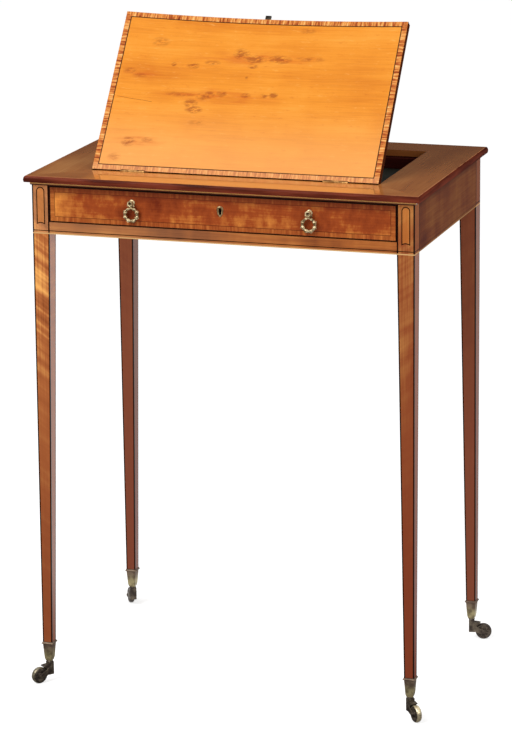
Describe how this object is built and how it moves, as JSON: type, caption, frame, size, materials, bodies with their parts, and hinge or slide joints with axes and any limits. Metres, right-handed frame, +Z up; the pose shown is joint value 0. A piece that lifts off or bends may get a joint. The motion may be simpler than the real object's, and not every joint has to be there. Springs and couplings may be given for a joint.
{
  "type": "reading table",
  "caption": "Small reading and writing table on square tapered legs with castors: a frieze drawer with ring handles and a rising slope held by a folding strut over a shallow well.",
  "frame": {"origin": "middle of the whole box on the floor, with the slope raised and the castors turned as in the picture", "axes": "+X to the reader's right, +Y to the back, +Z up; the drawer opens towards -Y"},
  "size_m": [0.5958, 0.4074, 0.9592],
  "materials": {
    "satinwood": "old french polish, satin",
    "slope_wood": "french polish, glossy",
    "top_wood": "worn french polish",
    "frame_wood": "plain",
    "oak": "bare, waxed",
    "dark_lining": "dark stain, dull",
    "boxwood": "polished",
    "brass": "aged, satin",
    "pale_brass": "worn bright",
    "steel": "dull, darkened"
  },
  "bodies": {
    "table": {"top_rail_front": "top_wood", "top_rail_back": "top_wood", "top_rail_left": "top_wood", "top_rail_right": "top_wood", "top_bead": "boxwood", "leg_front_left": "satinwood", "leg_front_right": "satinwood", "leg_back_left": "satinwood", "leg_back_right": "satinwood", "apron_left": "satinwood", "apron_right": "satinwood", "apron_back": "satinwood", "drawer_rail": "satinwood", "top_cross_rail": "frame_wood", "drawer_runner_left": "oak", "drawer_runner_right": "oak", "well_wall_left": "dark_lining", "well_wall_right": "dark_lining", "well_wall_front": "dark_lining", "well_wall_back": "dark_lining", "well_floor": "dark_lining", "rack_left": "oak", "rack_right": "oak", "hinge_fixed_left": "brass", "hinge_fixed_right": "brass", "castor_cup_front_left": "brass", "castor_cup_front_right": "brass", "castor_cup_back_left": "brass", "castor_cup_back_right": "brass"},
    "slope": {"slope_leaf": "slope_wood", "lift_tab": "steel", "hinge_moving_left": "brass", "hinge_moving_right": "brass", "strut_bracket": "oak", "strut_rod": "steel"},
    "strut": {"easel_strut": "oak"},
    "drawer": {"drawer_front": "satinwood", "drawer_side_left": "oak", "drawer_side_right": "oak", "drawer_back": "oak", "drawer_bottom": "oak", "lock_case": "steel", "escutcheon": "pale_brass", "handle_boss_left": "brass", "handle_boss_right": "brass"},
    "ring_left": {"handle_ring_left": "brass"},
    "ring_right": {"handle_ring_right": "brass"},
    "castor_front_left": {"castor_fork_front_left": "brass", "castor_axle_front_left": "brass"},
    "wheel_front_left": {"castor_wheel_front_left": "brass"},
    "castor_front_right": {"castor_fork_front_right": "brass", "castor_axle_front_right": "brass"},
    "wheel_front_right": {"castor_wheel_front_right": "brass"},
    "castor_back_left": {"castor_fork_back_left": "brass", "castor_axle_back_left": "brass"},
    "wheel_back_left": {"castor_wheel_back_left": "brass"},
    "castor_back_right": {"castor_fork_back_right": "brass", "castor_axle_back_right": "brass"},
    "wheel_back_right": {"castor_wheel_back_right": "brass"}
  },
  "joints": [
    {"name": "slope_hinge", "type": "hinge", "parent": "table", "child": "slope", "pos_m": [-0.00459, -0.12663, 0.7553], "axis": [1, 0, 0], "range_deg": [-50.3, 0]},
    {"name": "strut_pivot", "type": "hinge", "parent": "slope", "child": "strut", "pos_m": [-0.00459, -0.06175, 0.80542], "axis": [1, 0, 0], "range_deg": [0, 84.14]},
    {"name": "drawer_slide", "type": "slide", "parent": "table", "child": "drawer", "axis": [0, -1, 0], "range_m": [0, 0.22]},
    {"name": "ring_left_swing", "type": "hinge", "parent": "drawer", "child": "ring_left", "pos_m": [-0.13459, -0.19023, 0.7191], "axis": [-1, 0, 0], "range_deg": [-4, 70]},
    {"name": "ring_right_swing", "type": "hinge", "parent": "drawer", "child": "ring_right", "pos_m": [0.12541, -0.19023, 0.7191], "axis": [-1, 0, 0], "range_deg": [-4, 70]},
    {"name": "castor_front_left_swivel", "type": "hinge", "parent": "table", "child": "castor_front_left", "pos_m": [-0.27724, -0.17868, 0.028], "axis": [0, 0, 1], "continuous": true},
    {"name": "wheel_front_left_spin", "type": "hinge", "parent": "castor_front_left", "child": "wheel_front_left", "pos_m": [-0.28832, -0.19286, 0.0123], "axis": [0.788, -0.6157, 0], "continuous": true},
    {"name": "castor_front_right_swivel", "type": "hinge", "parent": "table", "child": "castor_front_right", "pos_m": [0.26806, -0.17868, 0.028], "axis": [0, 0, 1], "continuous": true},
    {"name": "wheel_front_right_spin", "type": "hinge", "parent": "castor_front_right", "child": "wheel_front_right", "pos_m": [0.2801, -0.19205, 0.0123], "axis": [0.7431, 0.6691, 0], "continuous": true},
    {"name": "castor_back_left_swivel", "type": "hinge", "parent": "table", "child": "castor_back_left", "pos_m": [-0.27724, 0.17662, 0.028], "axis": [0, 0, 1], "continuous": true},
    {"name": "wheel_back_left_spin", "type": "hinge", "parent": "castor_back_left", "child": "wheel_back_left", "pos_m": [-0.28624, 0.19221, 0.0123], "axis": [-0.866, -0.5, 0], "continuous": true},
    {"name": "castor_back_right_swivel", "type": "hinge", "parent": "table", "child": "castor_back_right", "pos_m": [0.26806, 0.17662, 0.028], "axis": [0, 0, 1], "continuous": true},
    {"name": "wheel_back_right_spin", "type": "hinge", "parent": "castor_back_right", "child": "wheel_back_right", "pos_m": [0.28578, 0.17975, 0.0123], "axis": [-0.1736, 0.9848, 0], "continuous": true}
  ],
  "couplings": [
    {"joint": "strut_pivot", "follows": "slope_hinge", "ratio": -1.6727}
  ]
}
